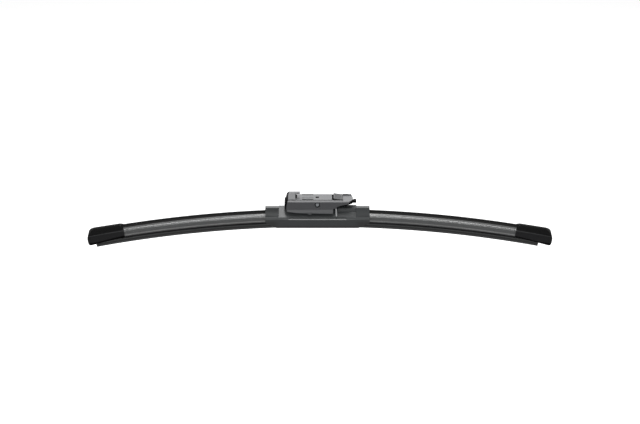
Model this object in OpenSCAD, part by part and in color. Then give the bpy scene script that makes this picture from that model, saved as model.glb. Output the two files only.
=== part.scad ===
// Flat wiper blade with a clip-on arm adapter.
// X runs along the blade, Y across it, Z is up and the wiping lip hangs down.
// The origin is the middle of the pivot pin, on which the adapter rocks.

/* [Blade] */
// Radius of the unloaded blade's bow, at the spring rails
arc_r = 1190; // [900:10:1600]
// How far the pivot pin stands left of the blade's middle
pin_offset = 2.5; // [0:0.5:6]
// Depth of the spring rails below the pivot pin, at the blade's middle
rail_drop = 16.8; // [16.4:0.1:18]
// Rubber length left of the blade's middle
strip_left = 229.8; // [180:0.1:300]
// Rubber length right of the blade's middle
strip_right = 224.3; // [180:0.1:300]
// Height of the rubber from the rails to the tip of the lip
lip_h = 10.9; // [9.5:0.1:12]
// Width of the lip's tip
lip_tip = 0.8; // [0.5:0.1:1.2]

/* [Spring rails] */
// Width of one rail
rail_w = 4.6; // [3.5:0.1:5]
// Thickness of one rail
rail_t = 1; // [0.8:0.1:1.2]
// Space between the two rails, for the neck of the rubber
rail_gap = 3.4; // [3:0.1:4]

/* [Wind deflector] */
// Width across the side walls, at the foot
spoiler_w = 15; // [14.2:0.1:16]
// Height of the outer side wall above the rails
wall_h = 3.9; // [3.4:0.1:4.4]
// Height of the soft crest above the rails
crest_h = 8.5; // [8:0.05:9.2]
// Width of the crest
crest_w = 2.4; // [1.8:0.1:3]
// Radius of the hollow face between the side wall and the crest
hollow_r = 4.4; // [3.6:0.1:4.8]
// Thickness of the claws under the rails
claw_t = 1.3; // [1:0.1:1.6]

/* [End caps] */
// Length of an end cap
cap_l = 38.9; // [32:0.1:46]
// Length of deflector and rail inside an end cap
cap_grip = 27; // [18:1:30]
// Wall of an end cap
cap_wall = 1.1; // [0.9:0.1:1.4]
// Radius from the cap's roof down to its nose, seen from the side
cap_nose_r = 9.3; // [8:0.1:10.5]
// Depth of the cap's nose below the rails
cap_deep = 5.9; // [4.8:0.1:6.6]

/* [Connector] */
// Length of the connector cover, over both sleeves
cover_l = 105; // [100:1:112]
// Length of one sleeve
sleeve_l = 13.5; // [11:0.5:15]
// Top of the sleeves, below the pivot pin
sleeve_drop = 3.6; // [3.2:0.1:3.9]
// Top ridge of the bridge between the sleeves, below the pivot pin
ridge_drop = 4.6; // [4.2:0.1:5]
// Width over the front and rear panels
panel_w = 21; // [20.4:0.2:23]
// Height of the front and rear panels
panel_h = 9.6; // [7.5:0.1:10.4]
// Wall of the connector cover
cover_wall = 1.5; // [1.2:0.1:1.8]
// Sheet thickness of the steel bracket
sheet_t = 1.2; // [1:0.1:1.4]
// Width over the bracket's two ears
ear_w = 10.8; // [9.6:0.2:11.2]
// Diameter of the pivot pin
pin_d = 3.8; // [3.4:0.1:4.2]

/* [Adapter] */
// Length of the housing's deck, from the hood's root to the button
deck_l = 36; // [34:0.5:38]
// Height of the deck above the pivot pin
deck_h = 4.85; // [4.5:0.05:5.5]
// Width of the flat deck
deck_w = 16; // [15.6:0.2:16.6]
// Width over the cheeks
cheek_w = 20; // [19.4:0.2:20.4]
// Wall of the cheeks
cheek_wall = 1.7; // [1.4:0.1:1.9]
// Depth of the cheeks below the pivot pin
cheek_drop = 8.9; // [8:0.1:9.2]
// Height of the hood above the pivot pin
hood_h = 10; // [9:0.1:12]
// Length of the hood
hood_l = 8.5; // [7:0.1:10]
// Diameter of the hole that shows the pin's end
sight_d = 5.4; // [4.6:0.1:6]

/* [Release button] */
// Length of the ribbed pad
pad_l = 9.1; // [8:0.1:10]
// Height of the pad's raised edge over the deck
pad_proud = 1.3; // [0.8:0.1:1.8]
// Number of ribs on the pad
pad_ribs = 7; // [5:1:9]
// Diameter of the button's trunnions
trunnion_d = 2.4; // [2:0.1:2.8]

/* [Fits] */
// Clearance between pieces that are slid together
slide_gap = 0.2; // [0.15:0.05:0.3]
// Clearance round a shaft that turns in plastic, on the radius
turn_gap = 0.05; // [0.03:0.01:0.08]
// Clearance between pieces that move past each other
move_gap = 0.4; // [0.3:0.05:0.5]

/* [Hidden] */
$fn = 48;
arc_fn = 900;
// Colours
rubber_black = [0.10, 0.10, 0.11];
steel_grey = [0.62, 0.63, 0.64];
shell_grey = [0.36, 0.37, 0.37];
cap_black = [0.15, 0.15, 0.15];
cover_grey = [0.33, 0.34, 0.35];
adapter_grey = [0.60, 0.61, 0.62];
core_black = [0.12, 0.12, 0.12];
// The cut edges of a difference run past the surface by this much
past = 1;
// More than any piece is wide or high, for a cut that goes right across
across_all = 60;

// Blade section, as [across, above the rails]
rail_in = rail_gap / 2;
rail_out = rail_in + rail_w;
half_t = rail_t / 2;
spoiler_half = spoiler_w / 2;
shelf_half = spoiler_half - 0.2;
crest_half = crest_w / 2;
hollow_y = crest_half + hollow_r;
hollow_z = wall_h + 0.2 + hollow_r;
claw_low = -half_t - claw_t;
claw_in = rail_out - 1.2;
slot_out = rail_out + slide_gap;
head_half = rail_in + 1.5;
head_top = half_t + 1.8;
neck_half = rail_in - slide_gap;
shoulder_half = rail_in + 1.9;

// Lengths along the bow, from the blade's middle
deflector_end = strip_left - 4.5;
rail_end = deflector_end + (cap_l - cap_grip) * 0.38;
cap_mouth = deflector_end - cap_grip;

// Connector places
blade_x = pin_offset;
foot_l = 9;
foot_out = rail_out + 0.1;
cover_end = cover_l / 2;
sleeve_in = cover_end - sleeve_l;
rail_z = -rail_drop;
panel_half = panel_w / 2;
// the cover's side walls share the room between the bracket's feet and the panels
cavity_half = foot_out + sheet_t + slide_gap;
side_wall = cover_wall * (panel_half - cavity_half) / 2.7;
ledge_z = rail_z + 1.4;
panel_low = ledge_z - panel_h;
foot_half = cavity_half + side_wall;
foot_z = ledge_z + 1.9;
sleeve_half = foot_half - 0.5;
ear_half = ear_w / 2;
ear_r = pin_d / 2 + 1.1;
rubber_over = rail_z + head_top + 0.9;
opening_half_x = ear_r + 6.5;
opening_half_y = ear_half + move_gap + 0.2;

// Adapter places
deck_x0 = 14.7 - deck_l;
deck_x1 = 14.7;
hood_x = deck_x0 - hood_l;
nose_x = hood_x - 3.7;
bow_r = 28;
post_x = deck_x1 + 4;
post_low = -12.2;
deck_half = deck_w / 2;
cheek_half = cheek_w / 2;
cheek_in = cheek_half - cheek_wall;
shoulder_z = deck_h - 2.6;
deck_under = deck_h - 1.3;
tail_top = deck_h - 0.9;
flare_z = -5.2;
flare = 0.5;
hood_top_half = 2.2;
slot_w = 2;
slot_mid = deck_half - 0.8 - slot_w / 2;
core_out = cheek_in - 0.2;
core_in = core_out - 1.6;
pad_x0 = deck_x1 + 1.5;
pad_x1 = pad_x0 + pad_l;
tail_x0 = pad_x1 + 0.4;
tail_x1 = tail_x0 + 9.7;
trunnion_x = pad_x1 + 1.7;
trunnion_z = 0.35;
button_half = core_in - move_gap;
floor_top = 0.3;
floor_t = 1.1;
tongue_half = 2.9;
tongue_x = tail_x1 + 3.8;
pin_half = core_out;
pin_end = cheek_half - 0.4;

// A point of the blade's section, given as [across, above the rails], for the sweep below
function at_arc(points) = [for (p = points) [arc_r + p[1], -p[0]]];

// The same outline mirrored to the other side and joined to the first, in one loop
function both_sides(points) =
    concat(points, [for (i = [len(points) - 1:-1:0]) [-points[i][0], points[i][1]]]);

// Angle along the bow for a length along the rails
function bow(length) = length / arc_r * 180 / PI;

// Points of an arc
function arc_points(cx, cz, r, a0, a1, n) =
    [for (i = [0:n]) let (a = a0 + (a1 - a0) * i / n) [cx + r * cos(a), cz + r * sin(a)]];

// Sweeps a section along the bow, from one length to another, both measured from the blade's middle
module along_bow(from, to) {
    translate([blade_x, 0, rail_z - arc_r])
        rotate([90, 0, 0])
            rotate_extrude(start = 90 - bow(to), angle = bow(to - from), $fn = arc_fn)
                children();
}

// Places a piece at a length along the bow, square to the rails
module on_bow(length) {
    translate([blade_x, 0, rail_z - arc_r])
        rotate([0, bow(length), 0])
            translate([0, 0, arc_r])
                children();
}

// Extrudes an outline of [x, z] points across the blade
module across(half) {
    rotate([90, 0, 0])
        translate([0, 0, -half])
            linear_extrude(2 * half) children();
}

// Extrudes an outline of [y, z] points along X
module lengthwise(x0, x1) {
    translate([x0, 0, 0])
        rotate([90, 0, 90])
            linear_extrude(x1 - x0) children();
}

// Outer outline of the wind deflector, right half from the crest down to the claw
function deflector_half(grow) = concat(
    [[crest_half - 0.45 + grow * 0.6, crest_h + grow], [crest_half + grow, crest_h - 0.5 + grow]],
    arc_points(hollow_y, hollow_z, hollow_r - grow, 180, 268, 9),
    [
        [shelf_half - 0.3 + grow * 0.7, wall_h + 0.05 + grow],
        [shelf_half + grow, wall_h - 0.3 + grow], [spoiler_half - 0.3 + grow, -0.1 + grow],
        [spoiler_half + grow, -0.5 + grow], [spoiler_half + grow, claw_low + 0.4 - grow],
        [spoiler_half - 0.4 + grow, claw_low - grow]
    ]
);

module deflector_section() {
    difference() {
        polygon(at_arc(both_sides(concat(deflector_half(0), [
            [claw_in, claw_low], [claw_in, -half_t], [slot_out, -half_t],
            [slot_out, half_t + slide_gap], [head_half + 0.4, half_t + slide_gap],
            [head_half + 0.4, head_top + 0.4]
        ]))));
        // hollow tube that runs inside the deflector
        polygon(at_arc(both_sides([[0.35, wall_h + 1.6], [1.9, wall_h - 0.3]])));
    }
}

module spoiler(from, to) {
    color(shell_grey) along_bow(from, to) deflector_section();
}

module spoiler_left() {
    spoiler(-deflector_end, -sleeve_in - blade_x);
}

module spoiler_right() {
    spoiler(sleeve_in - blade_x, deflector_end);
}

module wiper_strip() {
    waist = -half_t - 3.2;
    wing = waist - 0.9;
    color(rubber_black)
        along_bow(-strip_left, strip_right)
            polygon(at_arc(both_sides([
                [head_half - 0.4, head_top], [head_half, head_top - 0.4], [head_half, half_t],
                [neck_half, half_t], [neck_half, -half_t], [shoulder_half, -half_t],
                [shoulder_half, -half_t - 1.1], [0.55, -half_t - 2.5], [0.55, waist],
                [2.3, wing], [2.5, wing - 0.6], [1.2, wing - 1.5],
                [lip_tip / 2 + 0.1, -lip_h + 1.2], [lip_tip / 2, -lip_h]
            ])));
}

module spring_rail(side) {
    color(steel_grey)
        along_bow(-rail_end, rail_end)
            polygon(at_arc([
                [side * rail_in, -half_t], [side * rail_out, -half_t],
                [side * rail_out, half_t], [side * rail_in, half_t]
            ]));
}

module spring_rail_front() { spring_rail(-1); }

module spring_rail_rear() { spring_rail(1); }

// Outline of an end cap seen from the side, from its mouth at 0 to its nose
module cap_side() {
    top = crest_h + slide_gap + cap_wall - 0.35;
    low = claw_low - slide_gap;
    polygon(concat(
        [[0, low], [0, wall_h], [1, wall_h + 2.6], [2.6, top - 1.2], [4.6, top]],
        arc_points(cap_l - cap_nose_r - 1.4, top - cap_nose_r, cap_nose_r, 90, 45, 8),
        [[cap_l - 2, top - 4.6], [cap_l - 1.1, top - 6.6], [cap_l - 0.45, top - 8.8], [cap_l, top - 10.6]],
        arc_points(cap_l - 2.6, 2.6 - cap_deep, 2.6, 0, -85, 7),
        [[cap_l - 4, -cap_deep], [cap_l - 10.4, (low - 0.9 - cap_deep) / 2 - 0.5]]
    ));
}

// Section of an end cap: side walls up to a crease, and a roof that closes over the crest
module cap_section() {
    half = spoiler_half + slide_gap + cap_wall;
    crease = wall_h + slide_gap + cap_wall - 0.1;
    top = crest_h + slide_gap + cap_wall - 0.35;
    polygon(both_sides([
        [1.4, top], [2.6, top - 0.35], [5.2, top - 2], [half - 0.5, crease + 0.35], [half, crease - 0.3],
        [half, claw_low + 0.2], [half - 0.5, 1 - cap_deep], [half - 1.3, -cap_deep]
    ]));
}

module cap_outer() {
    half = spoiler_half + slide_gap + cap_wall;
    round_r = 7;
    intersection() {
        across(half + past) cap_side();
        lengthwise(-past, cap_l + past) cap_section();
        // rounded corners of the nose, seen from above
        translate([0, 0, -20]) linear_extrude(40) union() {
            translate([-past, -half]) square([cap_l - round_r + past, 2 * half]);
            for (s = [-1, 1])
                translate([cap_l - round_r, s * (half - round_r)]) circle(round_r);
            translate([cap_l - round_r - past, -half + round_r]) square([round_r + past, 2 * (half - round_r)]);
        }
    }
}

// side is -1 for the left cap and 1 for the right one
module end_cap(side) {
    before = cap_mouth - 8;
    color(cap_black) difference() {
        on_bow(side * cap_mouth) mirror([side < 0 ? 1 : 0, 0, 0]) cap_outer();
        // the deflector, the rails and the rubber slide in here
        along_bow(side < 0 ? -deflector_end - 0.5 : before, side < 0 ? -before : deflector_end + 0.5)
            polygon(at_arc(both_sides(concat(deflector_half(slide_gap), [[claw_in - 0.8, claw_low - slide_gap]]))));
        along_bow(side < 0 ? -strip_left - 1 : before, side < 0 ? -before : strip_left + 1)
            polygon(at_arc(both_sides([[claw_in - 0.8, half_t + 2.2], [claw_in - 0.8, -lip_h]])));
        // the rails reach a little further than the deflector
        along_bow(side < 0 ? -rail_end - 0.5 : cap_mouth, side < 0 ? -cap_mouth : rail_end + 0.5)
            polygon(at_arc(both_sides([[slot_out, half_t + slide_gap], [slot_out, -half_t - slide_gap]])));
    }
}

module end_cap_left() { end_cap(-1); }

module end_cap_right() { end_cap(1); }

module pivot_pin() {
    color(steel_grey) rotate([90, 0, 0]) {
        cylinder(d = pin_d, h = 2 * pin_half, center = true);
        cylinder(d = pin_d - 0.4, h = 2 * pin_end, center = true);
    }
}

// A pair of feet of the bracket, folded round the outer edges of both rails
module bracket_feet(from) {
    for (s = [-1, 1])
        along_bow(from, from + foot_l) polygon(at_arc([
            [s * (ear_half - sheet_t), half_t + sheet_t], [s * (foot_out + sheet_t), half_t + sheet_t],
            [s * (foot_out + sheet_t), -half_t - sheet_t], [s * (foot_out - 1.6), -half_t - sheet_t],
            [s * (foot_out - 1.6), -half_t], [s * foot_out, -half_t], [s * foot_out, half_t],
            [s * (ear_half - sheet_t), half_t]
        ]));
}
module connector_bracket() {
    web_x = 30;
    web_z = rubber_over + sheet_t;
    cheek_low = rail_z + half_t + 0.3;
    color(steel_grey) difference() {
        union() {
            // the two cheeks, which rise to ears round the pin
            for (s = [-1, 1])
                translate([0, s * (ear_half - sheet_t / 2), 0]) across(sheet_t / 2) union() {
                    polygon([
                        [-web_x, cheek_low], [-web_x, web_z], [-ear_r - 6, web_z], [-ear_r, 0],
                        [ear_r, 0], [ear_r + 6, web_z], [web_x, web_z], [web_x, cheek_low]
                    ]);
                    circle(ear_r);
                }
            // the webs over the rubber, on both sides of the ears
            for (x = [-web_x, opening_half_x + 3])
                translate([x, -ear_half, rubber_over]) cube([web_x - opening_half_x - 3, ear_w, sheet_t]);
            for (from = [-web_x - blade_x, web_x - blade_x - foot_l])
                bracket_feet(from);
        }
        rotate([90, 0, 0]) cylinder(d = pin_d, h = ear_w + 2 * past, center = true);
    }
}

// Sleeve section: a steep face towards the front and a roof that falls to the rear
module sleeve_section() {
    top = -sleeve_drop;
    polygon([
        [-foot_half, ledge_z - 4], [-foot_half, foot_z], [-sleeve_half, foot_z + 3.1],
        [-sleeve_half + 0.7, foot_z + 6], [-sleeve_half + 0.7, top - 0.5], [-sleeve_half + 1.1, top],
        [-3.2, top], [-1.6, top - 0.5], [sleeve_half - 0.4, foot_z + 2.2], [foot_half, foot_z],
        [foot_half, ledge_z - 4]
    ]);
}

// Half of the cover's section in the bridge: panel, ledge, foot and slope up to the ridge
bridge_half = [
    [0.5, -ridge_drop], [foot_half, foot_z], [foot_half, ledge_z + 0.5],
    [panel_half - 0.5, ledge_z], [panel_half, ledge_z - 0.5],
    [panel_half, panel_low + 1], [panel_half - 0.5, panel_low]
];

// Rounded shoulder that takes the ledge's place towards the sleeves
shoulder_half_section = [
    [foot_half - 0.8, foot_z + 0.7], [foot_half + 0.3, foot_z - 0.4], [panel_half - 0.3, ledge_z + 0.5],
    [panel_half, ledge_z - 0.5], [panel_half, ledge_z - 1]
];

// The same for the hollow under the bridge
hollow_half = [
    [0.5, -ridge_drop - cover_wall * 1.5], [cavity_half, foot_z - cover_wall * 0.4],
    [cavity_half, ledge_z + 0.5 - cover_wall], [panel_half - 0.5 - side_wall * 0.7, ledge_z - cover_wall],
    [panel_half - side_wall, ledge_z - 0.5 - cover_wall], [panel_half - side_wall, panel_low - 3]
];

// Outline of a panel seen from the front, with its cut corners
module panel_outline() {
    polygon([
        [-cover_end, ledge_z + 10], [-cover_end, ledge_z - 4], [-cover_end + 9.6, panel_low + 0.9],
        [-cover_end + 11.2, panel_low - 0.01], [cover_end - 11.2, panel_low - 0.01],
        [cover_end - 9.6, panel_low + 0.9],
        [cover_end, ledge_z - 4], [cover_end, ledge_z + 10]
    ]);
}

module cover_shoulder(side) {
    polygon(concat(
        [for (q = shoulder_half_section) [side * q[0], q[1]]],
        [[side * (foot_half - 0.8), ledge_z - 1]]
    ));
}

module connector_cover() {
    color(cover_grey) difference() {
        union() {
            // bridge, open below
            difference() {
                lengthwise(-cover_end, cover_end) polygon(both_sides(bridge_half));
                lengthwise(-sleeve_in + 1, sleeve_in - 1) polygon(both_sides(hollow_half));
                for (s = [-1, 1])
                    translate([s < 0 ? -cover_end - past : sleeve_in, -foot_half, foot_z - 0.01])
                        cube([sleeve_l + past, 2 * foot_half, 20]);
            }
            lengthwise(-cover_end, -sleeve_in) sleeve_section();
            lengthwise(sleeve_in, cover_end) sleeve_section();
            for (s = [-1, 1])
                mirror([s < 0 ? 1 : 0, 0, 0]) lengthwise(sleeve_in - 10, cover_end) {
                    cover_shoulder(1);
                    cover_shoulder(-1);
                }
        }
        // the deflectors slide into the sleeves
        for (s = [-1, 1])
            along_bow(s < 0 ? -cover_end - 5 : sleeve_in - 4, s < 0 ? -sleeve_in + 1.5 : cover_end + 5)
                polygon(at_arc(both_sides(deflector_half(slide_gap))));
        // the rubber runs through below
        lengthwise(-cover_end - past, cover_end + past)
            polygon([
                [-claw_in + 0.6, panel_low - 3], [-claw_in + 0.6, rail_z],
                [claw_in - 0.6, rail_z], [claw_in - 0.6, panel_low - 3]
            ]);
        // the cut lower corners
        difference() {
            translate([-cover_end - past, -panel_half - past, panel_low - past])
                cube([cover_l + 2 * past, panel_w + 2 * past, panel_h]);
            across(panel_half + 2 * past) panel_outline();
        }
        // under the sleeves the panels are thinned to their wall
        for (x = [-cover_end - past, sleeve_in - past])
            translate([x, -panel_half + side_wall, panel_low - past])
                cube([sleeve_l + 2 * past, panel_w - 2 * side_wall, rail_z + claw_low - 2.4 - panel_low + past]);
        // the bracket's ears and the adapter reach through here
        translate([-opening_half_x, -opening_half_y, foot_z - 2])
            cube([2 * opening_half_x, 2 * opening_half_y, 20]);
    }
}

// Section of the adapter, from the deck over its shoulders down to the flared skirt
module adapter_section(inset, top) {
    half = cheek_half - inset;
    polygon(both_sides(concat(
        [[deck_half - inset - 0.1, top]],
        [[deck_half - inset, top - 0.1], [deck_half - inset, deck_h - 0.45], [deck_half - inset + 0.25, deck_h - 0.5]],
        [[half - 0.25, shoulder_z + 0.85], [half, shoulder_z + 0.25]],
        [[half, flare_z + 0.8], [half - 0.12, flare_z], [half + flare, 0.9 - cheek_drop],
         [half + flare, 0.35 - cheek_drop], [half + flare - 0.35, -cheek_drop],
         [half + flare - 0.35, -cheek_drop - 4]]
    )));
}

// Outline of the housing seen from the side
module housing_side() {
    polygon([
        [hood_x - 4, -cheek_drop + 1.5], [hood_x - 4, deck_h], [deck_x0, deck_h],
        [tail_x1, deck_h], [tail_x1, deck_h - 1], [tail_x1 - 4.1, deck_h - 3],
        [tail_x1 - 4.4, 0.8], [tail_x1 - 8.4, 0], [tail_x1 - 12.6, -0.8], [post_x + 1, -2.2],
        [post_x + 0.7, -3.4], [post_x - 0.6, -3.4], [deck_x1 + 1.2, -4.2], [deck_x1 + 1, -cheek_drop],
        [deck_x0 + 3, -cheek_drop], [hood_x + 2, -cheek_drop + 1.5]
    ]);
}

// The hood's left edge and the core's nose are both bowed, seen from the side, with a rounded lower corner
module bowed_front(x) {
    low = -cheek_drop + 0.9;
    across(across_all / 2) polygon(concat(
        arc_points(x + bow_r, -5, bow_r, 142, 179, 16),
        arc_points(x + 3.6, low + 3.5, 3.5, 188, 262, 7),
        [[x + 6, low - 0.4], [x + 9, low - 4], [x + across_all, low - 4],
         [x + across_all, hood_h + 4], [x + 6, hood_h + 4]]
    ));
}

module hood_edge(grow) {
    bowed_front(hood_x - 2 - grow);
}

module nose_edge() {
    bowed_front(nose_x);
}

module hood_block(inset, x1) {
    top = hood_h - inset;
    lengthwise(hood_x - 6, x1) polygon(both_sides([
        [hood_top_half - inset * 0.4, top], [hood_top_half + 0.7 - inset * 0.4, top - 0.3],
        [deck_half + 0.2 - inset * 0.8, deck_h + 0.35 - inset * 0.3],
        [deck_half + 0.2 - inset * 0.8, deck_h + 0.1 - inset * 0.3],
        [deck_half - 0.4 - inset * 0.8, deck_h - 0.2 - inset * 0.3], [deck_half - inset - 1, deck_h - 2]
    ]));
}

module adapter_housing() {
    beak_t = 1;
    slit_x = deck_x0 - 0.6;
    color(adapter_grey) difference() {
        union() {
            intersection() {
                union() {
                    intersection() {
                        lengthwise(hood_x - 6, tail_x1 + past) adapter_section(0, deck_h);
                        across(cheek_half + past) housing_side();
                    }
                    hood_block(0, deck_x0);
                }
                union() {
                    hood_edge(0);
                    translate([hood_x + 8, -20, -20]) cube([80, 40, 40]);
                }
                // the tail is rounded, seen from above
                translate([0, 0, -20]) linear_extrude(40) union() {
                    translate([-60, -20]) square([60 + tail_x1 - 7, 40]);
                    translate([tail_x1 - 7, -cheek_half + 6.5]) circle(7);
                    translate([tail_x1 - 7, cheek_half - 6.5]) circle(7);
                    translate([0, -cheek_half + 6.5]) square([tail_x1, cheek_w - 13]);
                }
            }
            // rib along the tail's rear edge
            translate([0, deck_half - 0.4, 0]) across(0.4) polygon([
                [tail_x0 - past, shoulder_z + 0.5], [tail_x0 - past, deck_h + 0.2], [tail_x1 - 4.4, deck_h + 0.2],
                [tail_x1 - 3, tail_top], [tail_x1 - 3, shoulder_z + 0.5]
            ]);
            // beak over the deck, which holds the front edge of the wiper arm
            translate([slit_x - 1, -hood_top_half, hood_h - beak_t]) cube([5.4, 2 * hood_top_half, beak_t]);
            for (s = [-1, 1]) {
                // clip tabs at the foot of the skirt
                translate([0, s * (cheek_half + 0.3), 0]) across(0.3)
                    polygon([[-11.5, 1 - cheek_drop], [-5.7, 1 - cheek_drop], [-6, -cheek_drop - 0.9], [-8.6, -cheek_drop - 0.9]]);
                // spring posts behind the cheeks, which reach down past the bridge's foot
                translate([post_x, s * cheek_half, post_low]) cylinder(d = 1.1, h = -3 - post_low, $fn = 20);
                // rib below the hole that shows the pin
                translate([-0.3, s * (cheek_half - 0.2) - 0.35, 1.2 - cheek_drop]) cube([0.6, 0.7, cheek_drop - 4]);
            }
            // flat ring round that hole, up to the shoulder
            intersection() {
                rotate([90, 0, 0]) cylinder(d = sight_d + 3.6, h = cheek_w + 0.24, center = true);
                translate([-10, -20, -10]) cube([20, 40, 10 + shoulder_z]);
            }
        }
        // inside
        lengthwise(deck_x0 - 1, tail_x0 + 0.2) square_hollow(deck_under);
        lengthwise(tail_x0, tail_x1 - 2) square_hollow(tail_top - 1.15);
        intersection() {
            union() {
                lengthwise(hood_x - 8, deck_x0) square_hollow(deck_under);
                hood_block(cheek_wall, deck_x0 - 1.6);
            }
            translate([hood_x - 8, -20, -20]) cube([40, 40, 40]);
        }
        // transverse slit under the beak
        translate([slit_x, -deck_half / 2, deck_under - 0.2])
            cube([1.5, deck_half * 1.35, hood_h - beak_t - deck_under + 0.2]);
        // small window in the deck
        translate([-1.4, -1.9, 0]) cube([2.6, 2.2, 20]);
        // two slots along the deck's edges, and a fine line between them
        for (s = [-1, 1])
            translate([deck_x0 + 5.7, s * slot_mid - slot_w / 2, shoulder_z]) cube([11.5, slot_w, 20]);
        translate([deck_x0 + 5.7, -1.2, deck_h - 0.25]) cube([11.5, 0.7, 20]);
        // the tail lies lower than the deck, up to a rib along its rear edge
        translate([tail_x0 - past, -across_all, tail_top]) cube([across_all, across_all + deck_half - 0.8, 20]);
        // opening for the button
        translate([deck_x1, -deck_half, trunnion_z - 1.5]) cube([tail_x0 - deck_x1, deck_w, 20]);
        // holes that show the pin's ends
        rotate([90, 0, 0]) cylinder(d = sight_d, h = cheek_w + 2 * past, center = true);
    }
}

module square_hollow(top) {
    polygon([
        [-cheek_in, -cheek_drop - 5], [-cheek_in, shoulder_z], [-cheek_in + 1, top],
        [cheek_in - 1, top], [cheek_in, shoulder_z], [cheek_in, -cheek_drop - 5]
    ]);
}

// Tail block and tongue of the core, which show below the housing's tail
module tail_tongue() {
    low = floor_top - 0.7;
    across(tongue_half) polygon([
        [tail_x1 - 5, low], [tongue_x - 0.3, low], [tongue_x, low + 0.3], [tongue_x, low + 1.8],
        [tongue_x - 0.3, low + 2.05], [tail_x1 + 0.9, low + 2.05], [tail_x1 + 0.6, low + 1.2], [tail_x1 - 5, low + 1.2]
    ]);
    intersection() {
        across(core_out) polygon([
            [tail_x1 - 5, low], [tail_x1 + 0.4, low], [tail_x1 + 0.4, deck_h - 2.2], [tail_x1 - 0.1, deck_h - 1.2],
            [tail_x1 - 4.1, deck_h - 3.15], [tail_x1 - 5, 0.9]
        ]);
        translate([0, 0, -past]) linear_extrude(20) polygon([
            [tail_x1 - 6, -core_out], [tail_x1 - 5, -core_out], [tail_x1 - 3.3, 0.6 - core_out],
            [tail_x1 - 0.6, -tongue_half - 2.4], [tail_x1 + 0.4, -tongue_half],
            [tail_x1 + 0.4, tongue_half], [tail_x1 - 0.6, tongue_half + 2.4],
            [tail_x1 - 3.3, core_out - 0.6], [tail_x1 - 5, core_out], [tail_x1 - 6, core_out]
        ]);
    }
}

module adapter_core() {
    wall_low = -cheek_drop + 1.9;
    color(core_black) difference() {
        union() {
            // nose that closes the housing's front
            intersection() {
                difference() {
                    nose_edge();
                    hood_edge(0.15);
                }
                union() {
                    lengthwise(hood_x - 8, hood_x + 8) adapter_section(0.25, deck_h - 0.2);
                    hood_block(0.3, hood_x + 8);
                }
                translate([hood_x - 8, -20, -cheek_drop + 1.6]) cube([16, 40, hood_h + cheek_drop - 2]);
            }
            // two long walls, which carry the bearings of the pin and of the button
            for (s = [-1, 1])
                translate([0, s * (core_out + core_in) / 2, 0]) across((core_out - core_in) / 2) polygon([
                    [hood_x - 2, wall_low + 1.6], [hood_x - 2, shoulder_z], [deck_x1 - 1, shoulder_z],
                    [deck_x1 - 1, floor_top + 0.8], [pad_x1 - 0.6, floor_top + 0.8],
                    [pad_x1 - 0.6, shoulder_z], [tail_x1 - 4, shoulder_z], [tail_x1 - 4, floor_top - floor_t],
                    [trunnion_x + 1.6, trunnion_z - 2], [19, trunnion_z - 2],
                    [14, wall_low], [-18, wall_low], [-22, wall_low + 1.6]
                ]);
            // floor under the button and the tongue at the tail
            translate([deck_x1 - 2, -core_out + 0.5, floor_top - floor_t])
                cube([tail_x1 - 4 - deck_x1 + 2, 2 * core_out - 1, floor_t]);
            tail_tongue();
        }
        // notch in the nose, which clears the connector's ridge
        translate([hood_x - 8, -cheek_in - 0.1, -20]) cube([9, 2 * cheek_in + 0.2, 20 + shoulder_z - 1.5]);
        rotate([90, 0, 0]) cylinder(d = pin_d + 2 * turn_gap, h = 2 * cheek_half, center = true);
        translate([trunnion_x, 0, trunnion_z])
            rotate([90, 0, 0]) cylinder(d = trunnion_d + 2 * turn_gap, h = 2 * cheek_half, center = true);
    }
}

module release_button() {
    low = deck_h - 0.9;
    rib = (pad_l - 1.6) / pad_ribs;
    drop = (pad_proud - 0.15) / pad_l;
    color(adapter_grey) {
        difference() {
            across(deck_half - move_gap) polygon([
                [pad_x0, low], [pad_x0, deck_h + pad_proud - 0.3], [pad_x0 + 0.3, deck_h + pad_proud],
                [pad_x1, deck_h + 0.15], [pad_x1, low - 1], [pad_x1 - 2, low - 1], [pad_x1 - 3, low]
            ]);
            // grooves between the ribs
            for (i = [1:pad_ribs - 1])
                translate([pad_x0 + 0.8 + i * rib, 0, deck_h + pad_proud - drop * (0.8 + i * rib) + 0.12])
                    rotate([90, 0, 0]) cylinder(d = 0.8, h = deck_w + 2, center = true, $fn = 16);
        }
        // lever under the pad, down to the trunnions
        across(button_half) polygon([
            [pad_x1 - 3, low], [pad_x1 - 0.6, low - 0.4], [pad_x1 + 0.3, shoulder_z + 0.1],
            [trunnion_x + 1.4, shoulder_z - 0.2],
            [trunnion_x + 1.4, floor_top + 0.2], [trunnion_x - 1.2, floor_top + 0.2]
        ]);
        translate([trunnion_x, 0, trunnion_z])
            rotate([90, 0, 0]) cylinder(d = trunnion_d, h = 2 * core_out - 0.4, center = true);
    }
}

// Bent leaf between the core's floor and the pad
module button_spring() {
    t = 0.4;
    x0 = pad_x0 + 0.8;
    top = deck_h - 0.9;
    color(steel_grey) across(2) polygon([
        [x0, floor_top], [x0 + 6, floor_top], [x0 + 6.4, floor_top + t + 0.1], [x0 + 1.6, top], [x0, top],
        [x0, top - t], [x0 + 1.35, top - t], [x0 + 5.4, floor_top + t], [x0, floor_top + t]
    ]);
}

wiper_strip();
spring_rail_front();
spring_rail_rear();
spoiler_left();
spoiler_right();
end_cap_left();
end_cap_right();
connector_bracket();
connector_cover();
pivot_pin();
adapter_housing();
adapter_core();
release_button();
button_spring();
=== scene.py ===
import math

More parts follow.
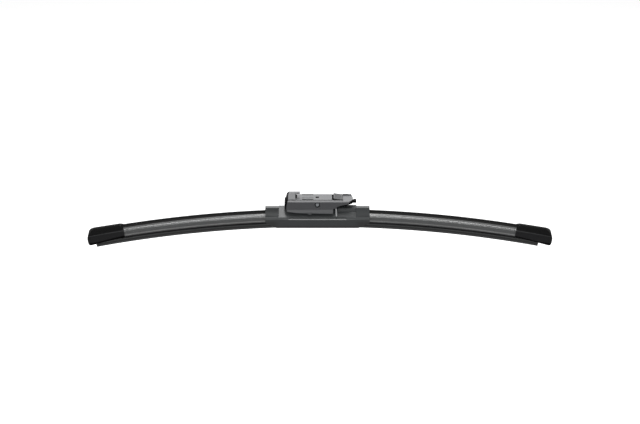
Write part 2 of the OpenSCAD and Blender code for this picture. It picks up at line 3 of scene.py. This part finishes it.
import bmesh
import bpy
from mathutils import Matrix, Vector


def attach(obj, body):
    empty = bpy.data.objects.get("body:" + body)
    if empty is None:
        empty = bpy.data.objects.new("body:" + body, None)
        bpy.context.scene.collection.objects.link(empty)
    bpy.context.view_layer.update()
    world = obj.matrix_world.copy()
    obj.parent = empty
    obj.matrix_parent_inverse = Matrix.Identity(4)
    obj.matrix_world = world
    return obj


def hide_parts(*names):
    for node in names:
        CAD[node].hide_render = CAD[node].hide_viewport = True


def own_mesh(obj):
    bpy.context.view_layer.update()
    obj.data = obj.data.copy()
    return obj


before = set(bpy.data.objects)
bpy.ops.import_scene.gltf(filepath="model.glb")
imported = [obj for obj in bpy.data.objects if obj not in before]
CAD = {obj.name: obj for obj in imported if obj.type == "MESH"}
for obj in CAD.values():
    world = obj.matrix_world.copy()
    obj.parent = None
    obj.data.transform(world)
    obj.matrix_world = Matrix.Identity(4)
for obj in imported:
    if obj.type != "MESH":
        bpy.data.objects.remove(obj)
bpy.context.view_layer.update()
MM = 0.001

# Wiper strip
# One length of extruded natural rubber with head, hinge web, wing and lip, its faces graphited.
# The grooves of its head take the two rails, and its lip is slit clean with a blade.


def srgb(code):
    """A colour written as sRGB hex, as the linear value that a shader takes."""
    parts = [int(code[start:start + 2], 16) / 255 for start in (1, 3, 5)]
    return tuple(v / 12.92 if v <= 0.04045 else ((v + 0.055) / 1.055) ** 2.4 for v in parts) + (1.0,)


def add(tree, kind, *values, **named):
    """A shader node with its settings and links, given back as its first output.

    Values go to its inputs in order, and named ones to the setting or the input of that name.
    A socket is linked, and hex becomes a colour.
    """
    node = tree.nodes.new("ShaderNode" + kind)
    for name in [word for word in named if hasattr(node, word)]:
        setattr(node, name, named.pop(name))
    pairs = list(zip([socket for socket in node.inputs if socket.enabled], values))
    pairs += [(node.inputs[name], value) for name, value in named.items()]
    for socket, value in pairs:
        if isinstance(value, bpy.types.NodeSocket):
            tree.links.new(value, socket)
        else:
            socket.default_value = srgb(value) if isinstance(value, str) else value
    return next((socket for socket in node.outputs if socket.enabled), None)


def material(name, colour, rough, level=0.5, metal=0.0):
    """An opaque material, where level is the strength of its gloss.

    Gives the material, its tree, its shader and the place on the part in mm.
    """
    made = bpy.data.materials.new(name)
    made.use_nodes = True
    tree = made.node_tree
    shader = tree.nodes["Principled BSDF"]
    shader.inputs["Base Color"].default_value = srgb(colour)
    shader.inputs["Roughness"].default_value = rough
    shader.inputs["Specular IOR Level"].default_value = level
    shader.inputs["Metallic"].default_value = metal
    place = add(tree, "TexCoord").node.outputs["Object"]
    return made, tree, shader, add(tree, "VectorMath", place, 1 / MM, operation="SCALE")


def grain(tree, shader, place, size, depth, stretch=(1, 1, 1), detail=2.0):
    """Fine relief: size and depth in mm; a stretch below 1 draws it out along that axis."""
    scaled = add(tree, "VectorMath", place, [v / size for v in stretch], operation="MULTIPLY")
    noise = add(tree, "TexNoise", scaled, Scale=1.0, Detail=detail, Roughness=0.55)
    bump = add(tree, "Bump", Strength=1.0, Distance=depth * MM, Height=noise)
    normal = shader.inputs["Normal"]
    if normal.is_linked:
        tree.links.new(normal.links[0].from_socket, bump.node.inputs["Normal"])
    tree.links.new(bump, normal)
    return noise


# nearly all values of a noise lie between these two
NOISE = (0.3, 0.7)

# the bow in mm: its radius, the X of its crown, and the Z of the rails there and of the bow's centre
BOW = 1190
BOW_X = 2.5
RAIL_Z = -16.8
BOW_Z = RAIL_Z - BOW


def above_rails(tree, place):
    """Height in mm over the bowed rails."""
    out = add(tree, "VectorMath", place, (BOW_X, 0, BOW_Z), operation="SUBTRACT")
    upright = add(tree, "VectorMath", out, (1, 0, 1), operation="MULTIPLY")
    far = add(tree, "VectorMath", upright, operation="LENGTH")
    return add(tree, "Math", far, BOW, operation="SUBTRACT")


def placed(name, shape, made_of, sharp):
    """A bmesh as a piece, smooth except over edges sharper than that angle in degrees."""
    mesh = bpy.data.meshes.new(name)
    shape.to_mesh(mesh)
    shape.free()
    for face in mesh.polygons:
        face.use_smooth = True
    mesh.set_sharp_from_angle(angle=math.radians(sharp))
    mesh.materials.append(made_of)
    piece = bpy.data.objects.new(name, mesh)
    bpy.context.scene.collection.objects.link(piece)
    even = piece.modifiers.new("even normals", "WEIGHTED_NORMAL")
    even.keep_sharp = True
    return piece


def through(name, rings, made_of, sharp):
    """A closed piece with flat ends through rings of corners, which are in mm."""
    shape = bmesh.new()
    rings = [[shape.verts.new([v * MM for v in corner]) for corner in ring] for ring in rings]
    count = len(rings[0])
    for one, two in zip(rings, rings[1:]):
        for here in range(count):
            after = (here + 1) % count
            shape.faces.new((one[here], one[after], two[after], two[here]))
    shape.faces.new(rings[0][::-1])
    shape.faces.new(rings[-1])
    bmesh.ops.recalc_face_normals(shape, faces=shape.faces)
    return placed(name, shape, made_of, sharp)


# half of the profile from top to bottom, as (across, above the rails) in mm
HEAD = [(2.8, 2.3), (3.2, 1.9), (3.2, 0.5), (1.5, 0.5)]
SHOULDERS = [(1.5, -0.5), (3.6, -0.5), (3.6, -1.6), (0.55, -3.0)]
WING = [(0.55, -4.5), (1.4, -5.0), (2.4, -5.3), (2.7, -5.7), (2.7, -6.3), (2.4, -6.6), (1.1, -7.0)]
LIP = [(0.7, -7.6), (0.6, -9.0), (0.45, -9.8), (0.4, -10.9)]

# the strip's two ends along the bow, and how far apart its rings are, in mm
STRIP_ENDS = (-229.8, 224.3)
RING_STEP = 4

# heights over the rails between which the painted shade under the wing lies: its lower edge at the lip's
# edge, its upper edge under the wing
LIP_EDGE = (-9.4, -8.8)
WING_UNDERSIDE = (-6.7, -6.3)

# Grey-black and dull, with a paler bloom of graphite in patches, and painted shade from the lip's edge up
# under the wing.
# Its fine lines are really 0.05 mm apart, and are drawn at 0.12 mm so that they show.
rubber, tree, shader, place = material("graphited rubber", "#38393a", rough=0.55)
lines = grain(tree, shader, place, size=0.12, depth=0.006, stretch=(0.02, 1, 1))
bloom = grain(tree, shader, place, size=4.0, depth=0.004, stretch=(0.25, 1, 1))
height = above_rails(tree, place)
patches = add(tree, "MapRange", bloom, *NOISE)
bloomed = add(tree, "Mix", patches, "#3a3b3b", "#48494a", data_type="RGBA")
# painted shade under the wing, from the lip's edge upwards
painted_shade_under_wing = add(tree, "Mix", add(tree, "MapRange", height, *LIP_EDGE), bloomed, "#181818", data_type="RGBA")
above_painted_shade = add(tree, "MapRange", height, *WING_UNDERSIDE)
tone = add(tree, "Mix", above_painted_shade, painted_shade_under_wing, bloomed, data_type="RGBA")
tree.links.new(tone, shader.inputs["Base Color"])
tree.links.new(add(tree, "MapRange", lines, *NOISE, 0.52, 0.7), shader.inputs["Roughness"])

half = HEAD + SHOULDERS + WING + LIP
outline = half + [(-y, h) for y, h in reversed(half)]
start, end = STRIP_ENDS
count = round((end - start) / RING_STEP)
rings = []
for ring in range(count + 1):
    turn = (start + (end - start) * ring / count) / BOW
    sine, cosine = math.sin(turn), math.cos(turn)
    rings.append([(BOW_X + (BOW + h) * sine, y, BOW_Z + (BOW + h) * cosine) for y, h in outline])
strip = through("rubber_strip", rings, rubber, 35)
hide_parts("wiper_strip")
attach(strip, "blade")

# Spring rails, front and rear
# Two strips of rolled spring steel, cut from coil and bent to the blade's bow.
# They lie in the grooves of the rubber and carry its whole load; only their ends are ever seen.

# corners of a CAD mesh that are nearer than this, in mm, are one corner
WELD = 0.002
# shading breaks at edges that are sharper than the rounded ones by so much, in degrees
CRISPER = 4


def finished(node, name, body, made_of, radius, above=28, steps=2, flat=0.5):
    """A finished copy of a CAD node, with facets that lie flat within that angle joined into one face.

    Edges sharper than above, in degrees, are rounded by radius, in mm, in that many steps.
    """
    shape = bmesh.new()
    shape.from_mesh(CAD[node].data)
    bmesh.ops.remove_doubles(shape, verts=shape.verts, dist=WELD * MM)
    bmesh.ops.dissolve_limit(shape, angle_limit=math.radians(flat), verts=shape.verts, edges=shape.edges)
    met = [edge for edge in shape.edges if len(edge.link_faces) == 2]
    sharp = [edge for edge in met if edge.calc_face_angle(0) > math.radians(above)]
    bmesh.ops.bevel(shape, geom=sharp, offset=radius * MM, offset_type="WIDTH", segments=steps,
                    profile=0.5, affect="EDGES", clamp_overlap=True, miter_outer="ARC")
    piece = placed(name, shape, made_of, above + CRISPER)
    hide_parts(node)
    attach(piece, body)
    return piece


# Bright, with faint cloudy stains and fine lines from the rolls along it.
# The lines are really 0.02 mm apart, and are drawn at 0.08 mm so that they show.
spring_steel, tree, shader, place = material("rolled spring steel", "#8d8f92", rough=0.34, metal=1.0)
lines = grain(tree, shader, place, size=0.08, depth=0.002, stretch=(0.01, 1, 1))
stains = grain(tree, shader, place, size=3.0, depth=0.001)
tone = add(tree, "Mix", add(tree, "MapRange", stains, *NOISE), "#7d7f82", "#97999c", data_type="RGBA")
tree.links.new(tone, shader.inputs["Base Color"])
tree.links.new(add(tree, "MapRange", lines, *NOISE, 0.28, 0.44), shader.inputs["Roughness"])

finished("spring_rail_front", "rail_front", "blade", spring_steel, radius=0.1)
finished("spring_rail_rear", "rail_rear", "blade", spring_steel, radius=0.1)

# Wind deflectors, left and right
# One co-extrusion each: a satin foot of polypropylene with two claws that clip under the rails, and a
# soft crest. They are cut to length and pushed under the end cap and into the sleeve of the cover.

# heights over the rails, in mm: where the painted shade in the claws and the painted highlight along the
# foot end, where the soft crest begins, and where its flanks, painted paler, end under its top, painted
# darker
CLAW_TOP = (-1.1, -0.8)
FOOT_TOP = (-0.1, 0.3)
CREST_START = 5.9
CREST_FLANK = (7.2, 8.2)

# Satin dark grey, with a painted highlight along the foot and painted shade inside the claws, and a faint
# orange-peel skin.
# The die leaves faint lines along it, a quarter of a millimetre apart.
satin, tree, shader, place = material("extruded polypropylene", "#4b4c4c", rough=0.26, level=1.0)
lines = grain(tree, shader, place, size=0.25, depth=0.0009, stretch=(0.02, 1, 1), detail=3.0)
grain(tree, shader, place, size=0.3, depth=0.0006)
height = above_rails(tree, place)
wall = add(tree, "Mix", add(tree, "MapRange", lines, *NOISE), "#4a4b4b", "#515252", data_type="RGBA")
# painted highlight along the foot's bead, and painted shade inside the claws below it
low = add(tree, "MapRange", height, *FOOT_TOP, 1, 0)
foot_painted_highlight = add(tree, "Mix", low, wall, "#7d7e7e", data_type="RGBA")
painted_claw_shade = add(tree, "MapRange", height, *CLAW_TOP, 1, 0)
tone = add(tree, "Mix", painted_claw_shade, foot_painted_highlight, "#1c1c1c", data_type="RGBA")
tree.links.new(tone, shader.inputs["Base Color"])
tree.links.new(add(tree, "MapRange", lines, *NOISE, 0.23, 0.29), shader.inputs["Roughness"])

# Soft, matt and nearly black, with painted light: its flanks a little paler and its top darker.
# Its lines are really 0.1 mm apart, and are drawn at 0.18 mm so that they show.
soft, tree, shader, place = material("extruded elastomer", "#101010", rough=0.5, level=0.1)
lines = grain(tree, shader, place, size=0.18, depth=0.0035, stretch=(0.01, 1, 1), detail=3.0)
# painted light: the flanks paler, the top darker
flank_painted_light = add(tree, "MapRange", above_rails(tree, place), *CREST_FLANK, 1, 0)
tone = add(tree, "Mix", flank_painted_light, "#040404", "#2c2c2c", data_type="RGBA")
tree.links.new(tone, shader.inputs["Base Color"])
tree.links.new(add(tree, "MapRange", lines, *NOISE, 0.45, 0.6), shader.inputs["Roughness"])

# their facets along the bow turn by less than the usual angle, and stay
for side in ("left", "right"):
    node, name = "spoiler_" + side, "deflector_" + side
    deflector = finished(node, name, "blade", satin, radius=0.12, above=40, flat=0.02)
    deflector.data.materials.append(soft)
    for face in deflector.data.polygons:
        out = face.center / MM - Vector((BOW_X, 0, BOW_Z))
        face.material_index = 1 if Vector((out.x, out.z)).length - BOW > CREST_START else 0

# End caps, left and right
# Mouldings of glass-filled polyamide, open at the bottom for the rubber, with an eroded black texture.
# Each is pushed over deflector and rails until its latch catches the rails' ends.

# painted shade darkens the roof above these heights over the rails, and a painted highlight line runs just
# below them, in mm
CAP_ROOF = (5.0, 5.6)
CAP_PAINTED_HIGHLIGHT = (4.3, 4.7)
# the lower band of painted shade: how far out it begins and ends, how far under the rails it lies there,
# and how softly its upper edge fades
BAND_OUT = (196, 222)
BAND_UNDER = (1.0, 3.4)
BAND_FADE = (0.4, 1.0)

# Nearly black and palest on the faces, with painted light: a painted highlight line under the roof,
# and painted shade on the roof and low down.
# The texture's grains are really 0.1 mm wide, and are drawn at 0.22 mm so that they show.
textured, tree, shader, place = material("spark textured polyamide", "#1a1a1b", rough=0.6, level=0.05)
speck = grain(tree, shader, place, size=0.22, depth=0.012)
height = above_rails(tree, place)
axes = add(tree, "SeparateXYZ", place).node.outputs
far_out = add(tree, "Math", axes["X"], operation="ABSOLUTE")
under = add(tree, "MapRange", far_out, *BAND_OUT, *BAND_UNDER)
over_band = add(tree, "Math", height, under, operation="ADD")
# painted shade on the roof and on the low band, and a painted highlight line under the roof
under_roof = add(tree, "MapRange", height, *CAP_ROOF, 1, 0)
face = add(tree, "Math", under_roof, add(tree, "MapRange", over_band, *BAND_FADE), operation="MULTIPLY")
texture = add(tree, "Mix", add(tree, "MapRange", speck, *NOISE), "#29292a", "#313132", data_type="RGBA")
painted_highlight_line = add(tree, "Mix", add(tree, "MapRange", height, *CAP_PAINTED_HIGHLIGHT), texture, "#454546", data_type="RGBA")
tone = add(tree, "Mix", face, "#050505", painted_highlight_line, data_type="RGBA")
tree.links.new(tone, shader.inputs["Base Color"])
tree.links.new(add(tree, "MapRange", speck, *NOISE, 0.55, 0.7), shader.inputs["Roughness"])

for side in ("left", "right"):
    finished("end_cap_" + side, "cap_" + side, "blade", textured, radius=0.36, above=22, steps=3)

# Connector bracket and pivot pin
# The bracket is pressed from 1.2 mm steel: its feet are folded round the rails, its ears carry the pin.
# The pin is turned, and riveted over at both ends; both are zinc plated.

# pale, with soft clouds about a millimetre wide that differ in gloss and tone
zinc, tree, shader, place = material("zinc plated steel", "#93969a", rough=0.36, metal=1.0)
clouds = grain(tree, shader, place, size=0.9, depth=0.003)
tone = add(tree, "Mix", add(tree, "MapRange", clouds, *NOISE), "#7e8184", "#9b9ea1", data_type="RGBA")
tree.links.new(tone, shader.inputs["Base Color"])
tree.links.new(add(tree, "MapRange", clouds, *NOISE, 0.3, 0.46), shader.inputs["Roughness"])

finished("connector_bracket", "bracket", "blade", zinc, radius=0.12, above=35)
finished("pivot_pin", "pin", "blade", zinc, radius=0.15, above=35, steps=3)

# Connector cover
# One moulding in dark polyamide: two sleeves for the deflectors, a roof over the bracket, two long panels.
# It is clipped over the bracket before the deflectors are pushed in.

# painted shade on the panels along their lower edge and, under their top, towards their ends; in mm
PANEL_EDGE = (-22.6, -21.8)
PANEL_TOP = (-19, -16.5)
PANEL_END = (37, 44)
# the bridge lies above the panels, and from under the adapter's nose to the right it is duller by so much
BRIDGE_X = (-33, -30)
BRIDGE_Z = (-15.5, -14.9)
BRIDGE_DULLER = 0.24

# Dark bluish grey, satin, with an even texture that catches the light on the slopes, and painted shade on
# the panels' lower edges and ends.
# Its pores are really 0.08 mm wide, and are drawn at 0.16 mm so that they show.
dark, tree, shader, place = material("moulded polyamide", "#2b2e2f", rough=0.3, level=0.7)
pores = grain(tree, shader, place, size=0.16, depth=0.006)
flow = grain(tree, shader, place, size=9.0, depth=0.01, stretch=(0.4, 1, 1))
axes = add(tree, "SeparateXYZ", place).node.outputs
far_out = add(tree, "Math", axes["X"], operation="ABSOLUTE")
# painted shade along the panels' lower edges and towards their ends
towards_end = add(tree, "MapRange", far_out, *PANEL_END)
under_top = add(tree, "MapRange", axes["Z"], *PANEL_TOP, 1, 0)
ends = add(tree, "Math", towards_end, under_top, operation="MULTIPLY")
edge = add(tree, "MapRange", axes["Z"], *PANEL_EDGE, 1, 0)
painted_panel_shade = add(tree, "Math", edge, ends, operation="MAXIMUM")
plain = add(tree, "Mix", add(tree, "MapRange", flow, *NOISE), "#282b2d", "#2c3031", data_type="RGBA")
tone = add(tree, "Mix", painted_panel_shade, plain, "#0e0f10", data_type="RGBA")
tree.links.new(tone, shader.inputs["Base Color"])
along_bridge = add(tree, "MapRange", axes["X"], *BRIDGE_X, 0, BRIDGE_DULLER)
on_bridge = add(tree, "MapRange", axes["Z"], *BRIDGE_Z)
matt = add(tree, "Math", along_bridge, on_bridge, operation="MULTIPLY")
rough = add(tree, "Math", add(tree, "MapRange", pores, *NOISE, 0.29, 0.37), matt, operation="ADD")
tree.links.new(rough, shader.inputs["Roughness"])

finished("connector_cover", "cover", "blade", dark, radius=0.22, steps=3)


def prism(name, outline, start, end, made_of):
    """A prism from X = start to X = end; the outline holds its corners as (y, z), all in mm."""
    return through(name, [[(x, y, z) for y, z in outline] for x in (start, end)], made_of, 30)


# the roof of the bridge is rounded from the posts to the right sleeve; half of its outline as (y, z) in mm
ROOF_INSIDE = [(0.3, -4.9), (4.6, -8.9)]
ROOF_OUTSIDE = [(5.1, -9.3), (5.05, -8.2), (4.8, -7.0), (4.2, -5.8), (3.2, -4.9), (1.8, -4.45)]
ROOF_X = (20.3, 39.3)
half = ROOF_INSIDE + ROOF_OUTSIDE
roof = prism("cover_roof", half + [(-y, z) for y, z in reversed(half)], *ROOF_X, dark)
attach(roof, "blade")

# Adapter housing
# Grey acetal moulding with hood, beak, deck, cheeks and tail, made in a mould with two slides.
# It is clipped over the core, and its deck and beak hold the channel of the wiper arm.

# where the painted light on the skirt and the painted highlight on the spring posts lie: the skirt's top,
# and where the posts begin right of it and under the tail, in mm
SKIRT_TOP = (-5.6, -5.0)
POST_START = (17.0, 17.4)
POST_TOP = (-3.9, -3.5)

# Neutral satin grey, with a very faint pattern where the melt has flowed; painted light makes it a little
# paler on the skirt, whose flare catches the light, and a painted highlight makes the thin posts much
# paler.
# Its pores are really 0.07 mm wide, and are drawn at 0.14 mm so that they show.
grey, tree, shader, place = material("moulded grey acetal", "#3e3f42", rough=0.4, level=0.8)
pores = grain(tree, shader, place, size=0.14, depth=0.006)
flow = grain(tree, shader, place, size=6.0, depth=0.01, stretch=(0.5, 1, 1))
axes = add(tree, "SeparateXYZ", place).node.outputs
plain = add(tree, "Mix", add(tree, "MapRange", flow, *NOISE), "#3c3d40", "#404144", data_type="RGBA")
# painted light on the skirt, and a painted highlight on the posts
on_skirt = add(tree, "MapRange", axes["Z"], *SKIRT_TOP, 1, 0)
skirt_painted_light = add(tree, "Mix", on_skirt, plain, "#47484b", data_type="RGBA")
past_skirt = add(tree, "MapRange", axes["X"], *POST_START)
under_tail = add(tree, "MapRange", axes["Z"], *POST_TOP, 1, 0)
painted_post_highlight = add(tree, "Math", past_skirt, under_tail, operation="MULTIPLY")
tone = add(tree, "Mix", painted_post_highlight, skirt_painted_light, "#c4c5c7", data_type="RGBA")
tree.links.new(tone, shader.inputs["Base Color"])
tree.links.new(add(tree, "MapRange", pores, *NOISE, 0.37, 0.45), shader.inputs["Roughness"])

housing = finished("adapter_housing", "housing", "adapter", grey, radius=0.14, above=22)

# dull and nearly black, painted shade: the faces in the slit, the window and the slots are painted as the
# unlit moulding
painted_recess_shade, tree, shader, place = material("painted shade in grey acetal recesses", "#0a0a0b", rough=0.8, level=0.1)
recess_speckle = grain(tree, shader, place, size=0.5, depth=0.02)
tone = add(tree, "Mix", add(tree, "MapRange", recess_speckle, *NOISE), "#070708", "#0f0f10", data_type="RGBA")
tree.links.new(tone, shader.inputs["Base Color"])
housing.data.materials.append(painted_recess_shade)

# the space of each recess along X, Y and Z in mm
RECESSES = {
    "slit under the beak": ((-22.2, -20.2), (-4.2, 7.0), (3, 8.95)),
    "window": ((-1.5, 1.3), (-2.1, 0.5), (0, 4.75)),
    "slot at the rear": ((-15.8, -3.9), (4.9, 7.5), (2, 4.8)),
    "slot at the front": ((-15.8, -3.9), (-7.5, -4.9), (2, 4.8)),
    "groove in the deck": ((-15.7, -4.0), (-1.3, -0.4), (4.5, 4.8)),
    "opening for the button": ((14.6, 25.9), (-8.1, 8.1), (0, 4.75)),
}


def inside(point, space):
    """Whether a point lies in a space that is given as (low, high) along X, Y and Z."""
    return all(low < v < high for v, (low, high) in zip(point, space))


# faces inside the recesses take the painted shade
for face in housing.data.polygons:
    if any(inside(face.center / MM, space) for space in RECESSES.values()):
        face.material_index = 1


def stepped(place, steps):
    """The value at a place between steps, which are (place, value) from low to high."""
    for (low, first), (high, second) in zip(steps, steps[1:]):
        if place <= high:
            return first + (second - first) * max(0, (place - low) / (high - low))
    return steps[-1][1]


# The copy of the housing differs a little from its solid, by the sizes below, which are in mm.
ANY = math.inf
# the window's edges, parted at this Y, lie further out
WINDOW_EDGES = ((-1.6, 1.4), (-2.1, 0.5), (3, ANY))
WINDOW_MIDDLE = -1
WINDOW_SIDES = 0.4
WINDOW_FRONT = 0.7
WINDOW_REAR = 0.5
# the slit and the hood's wall beside it lie further left, by so much at each X
SLIT_WALLS = ((-22.15, -20.15), (-ANY, ANY), (2.5, ANY))
SLIT_LEFT = [(-21.6, 0.7), (-21.5, 0.9), (-21.1, 0.9), (-20.9, 0.1)]
# the hood's front edge stands upright: at each height it lies further right, or left, by so much, and
# this fades in over a few mm
HOOD_START = -23
HOOD_FADE = 3
HOOD_RIGHT = [(4.5, 0.5), (6, 0.2), (8, -0.8), (10, -1.5)]
# the two posts, at this X, are stouter and stand further right
POST_X = 18.7
POSTS = ((18, 19.4), (9.3, ANY), (-ANY, -3.5))
POST_STOUTER = 1.4
POST_RIGHT = 0.5
# the skirt's lower edge falls by so much over its length from its left end
SKIRT_EDGE = -8.3
SKIRT_LEFT = -18.4
SKIRT_LENGTH = 34
SKIRT_FALL = 0.9
for corner in housing.data.vertices:
    x, y, z = corner.co / MM
    if inside((x, y, z), WINDOW_EDGES):
        corner.co.x += math.copysign(WINDOW_SIDES, x) * MM
        corner.co.y += (WINDOW_REAR if y > WINDOW_MIDDLE else -WINDOW_FRONT) * MM
    if inside((x, y, z), SLIT_WALLS):
        corner.co.x -= stepped(x, SLIT_LEFT) * MM
    if x < HOOD_START:
        corner.co.x += min(1, (HOOD_START - x) / HOOD_FADE) * stepped(z, HOOD_RIGHT) * MM
    if inside((x, abs(y), z), POSTS):
        corner.co.x = (POST_X + POST_RIGHT + (x - POST_X) * POST_STOUTER) * MM
    elif z < SKIRT_EDGE and x > SKIRT_LEFT:
        corner.co.z -= SKIRT_FALL * MM * (x - SKIRT_LEFT) / SKIRT_LENGTH

# Adapter core
# Black acetal moulding inside the housing, with two bearings for the pin and two for the button.
# The housing is clipped over it, so that only its nose on the left and its tongue on the right are seen.

# Black and dull, with a faint gleam on its rounded nose.
# Its pores are really 0.1 mm wide, and are drawn at 0.3 mm so that they show.
black, tree, shader, place = material("moulded black acetal", "#0c0c0d", rough=0.7, level=0.05)
pores = grain(tree, shader, place, size=0.3, depth=0.004)
tone = add(tree, "Mix", add(tree, "MapRange", pores, *NOISE), "#070708", "#0c0c0d", data_type="RGBA")
tree.links.new(tone, shader.inputs["Base Color"])
tree.links.new(add(tree, "MapRange", pores, *NOISE, 0.7, 0.8), shader.inputs["Roughness"])

core = finished("adapter_core", "core", "adapter", black, radius=0.14)

# The nose is bowed as seen from above too, by so much at its cheeks, and its lower corner is well
# rounded: it lies further right by so much at each height. All in mm.
NOSE_START = -27
NOSE_FADE = 3
NOSE_BOW = 0.8
NOSE_HALF_WIDTH = 9
NOSE_CORNER = [(-7.3, 1.8), (-6, 0.8), (-4.5, 0)]
for corner in core.data.vertices:
    x, y, z = corner.co / MM
    if x < NOSE_START:
        right = NOSE_BOW * (y / NOSE_HALF_WIDTH) ** 2 + stepped(z, NOSE_CORNER)
        corner.co.x += min(1, (NOSE_START - x) / NOSE_FADE) * right * MM

# two webs close the core, one behind the nose, whose front leans back, and one under the deck, a black
# sheet that stands for the core's black seen through the window and darkens it as painted shade; in mm
NOSE_WEB_X = (-33.2, -30.5)
NOSE_WEB = [(-8.4, -1.3), (8.4, -1.3), (8.4, 1.3), (-8.4, 1.3)]
NOSE_WEB_LEAN = 0.5
DECK_WEB_X = (-22.6, 12.5)
DECK_WEB = [(-7.2, 3.15), (7.2, 3.15), (7.2, 3.45), (-7.2, 3.45)]
front, rear = NOSE_WEB_X
leaning = [(front + (NOSE_WEB_LEAN if z > 0 else 0), y, z) for y, z in NOSE_WEB]
upright = [(rear, y, z) for y, z in NOSE_WEB]
nose_web = through("nose_web", [leaning, upright], black, 30)
# a black sheet under the deck, which darkens the window as painted shade
deck_web = prism("core_web", DECK_WEB, *DECK_WEB_X, black)
for web in (nose_web, deck_web):
    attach(web, "adapter")

# Release button and its leaf
# The button is moulded in the housing's grey, ribbed for the thumb, on a lever with two trunnions.
# Under it a bent leaf of spring steel pushes it up against the housing.

# how far from the middle the painted shade on its flanks begins, in mm
BUTTON_FLANK = (7.4, 7.5)

# The same grey, a little duller, with painted shade making the flanks in the housing's opening nearly
# black.
# Its pores are really 0.07 mm wide, and are drawn at 0.14 mm so that they show.
thumbed, tree, shader, place = material("moulded dull grey acetal", "#37383a", rough=0.55)
pores = grain(tree, shader, place, size=0.14, depth=0.008)
axes = add(tree, "SeparateXYZ", place).node.outputs
far_out = add(tree, "Math", axes["Y"], operation="ABSOLUTE")
plain = add(tree, "Mix", add(tree, "MapRange", pores, *NOISE), "#28292b", "#2f3032", data_type="RGBA")
# painted shade on the flanks
flank_painted_light = add(tree, "MapRange", far_out, *BUTTON_FLANK)
tone = add(tree, "Mix", flank_painted_light, plain, "#0d0e0f", data_type="RGBA")
tree.links.new(tone, shader.inputs["Base Color"])
tree.links.new(add(tree, "MapRange", pores, *NOISE, 0.46, 0.56), shader.inputs["Roughness"])

finished("release_button", "button", "button", thumbed, radius=0.08, above=30)
leaf = finished("button_spring", "leaf", "adapter", spring_steel, radius=0.05, above=30)
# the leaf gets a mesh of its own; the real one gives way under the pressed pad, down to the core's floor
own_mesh(leaf)

# Studio
# A plain pale floor and a white background. One softbox hangs overhead, slightly behind, one stands over
# the front, a wide one is low at the back and another low in front. The camera looks down by 22 degrees.

# in metres: the floor's sides and its depth under the part
FLOOR_X = (-4, 4)
FLOOR_Y = (-4, 6)
FLOOR_Z = -0.3
# what the floor gives off to the camera, on top of the lamps' light, so that it shows nearly white
FLOOR_GLOW = 0.68
left, right = FLOOR_X
near, far = FLOOR_Y
corners = [(left, near, FLOOR_Z), (right, near, FLOOR_Z), (right, far, FLOOR_Z), (left, far, FLOOR_Z)]
floor_mesh = bpy.data.meshes.new("floor")
floor_mesh.from_pydata(corners, [], [(0, 1, 2, 3)])
floor = bpy.data.objects.new("floor", floor_mesh)
bpy.context.scene.collection.objects.link(floor)
pale = bpy.data.materials.new("pale floor")
pale.use_nodes = True
tree = pale.node_tree
tree.nodes.clear()
to_camera = add(tree, "LightPath").node.outputs["Is Camera Ray"]
glow = add(tree, "Emission", "#ffffff", add(tree, "MapRange", to_camera, 0, 1, 0, FLOOR_GLOW))
paint = add(tree, "BsdfDiffuse", "#e7e7e7")
add(tree, "OutputMaterial", add(tree, "AddShader", paint, glow))
floor_mesh.materials.append(pale)

# the world lights the part at this strength, and is white to the camera and in reflections
SKY_LIGHT = 0.15
world = bpy.data.worlds.new("studio")
world.use_nodes = True
bpy.context.scene.world = world
tree = world.node_tree
sky = tree.nodes["Background"]
sky.inputs["Color"].default_value = srgb("#ffffff")
rays = add(tree, "LightPath").node.outputs
seen = rays["Is Camera Ray"]
for kind in ("Is Glossy Ray", "Is Transmission Ray"):
    seen = add(tree, "Math", seen, rays[kind], operation="ADD", use_clamp=True)
tree.links.new(add(tree, "MapRange", seen, 0, 1, SKY_LIGHT, 1), sky.inputs["Strength"])


def softbox(name, place, width, depth, watts):
    """A lamp with a face of width by depth, in metres, that is turned towards the part."""
    lamp = bpy.data.lights.new(name, "AREA")
    lamp.shape = "RECTANGLE"
    lamp.size, lamp.size_y, lamp.energy = width, depth, watts
    box = bpy.data.objects.new(name, lamp)
    box.location = place
    box.rotation_euler = (-Vector(place)).to_track_quat("-Z", "Y").to_euler()
    bpy.context.scene.collection.objects.link(box)


softbox("overhead softbox", (0, 0.71, 0.96), width=1.15, depth=0.62, watts=14.5)
softbox("front softbox", (0, -0.25, 1.18), width=0.34, depth=0.6, watts=5.8)
softbox("back softbox", (0, 1.65, 0.65), width=2.2, depth=0.6, watts=2.5)
softbox("low front softbox", (0, -2.4, 0.5), width=2.4, depth=1.0, watts=9)

# the camera, in metres: its distance, the width of the picture at the part, and how far the picture's
# middle lies right of the pin and below it; its film's width is in mm
CAMERA_UP = math.radians(22)
CAMERA_FAR = 2.5
PICTURE_WIDTH = 0.6452
PICTURE_RIGHT = 0.00262
PICTURE_BELOW = 0.01069
FILM_WIDTH = 36
bpy.context.scene.view_settings.view_transform = "Standard"
lens = bpy.data.cameras.new("camera")
lens.sensor_width = FILM_WIDTH
lens.lens = FILM_WIDTH * CAMERA_FAR / PICTURE_WIDTH
lens.clip_start, lens.clip_end = 0.01, 30
camera = bpy.data.objects.new("camera", lens)
away = Vector((0, -math.cos(CAMERA_UP), math.sin(CAMERA_UP)))
down = Vector((0, -math.sin(CAMERA_UP), -math.cos(CAMERA_UP)))
aim = Vector((PICTURE_RIGHT, 0, 0)) + PICTURE_BELOW * down
camera.location = aim + CAMERA_FAR * away
camera.rotation_euler = away.to_track_quat("Z", "Y").to_euler()
bpy.context.scene.collection.objects.link(camera)
bpy.context.scene.camera = camera
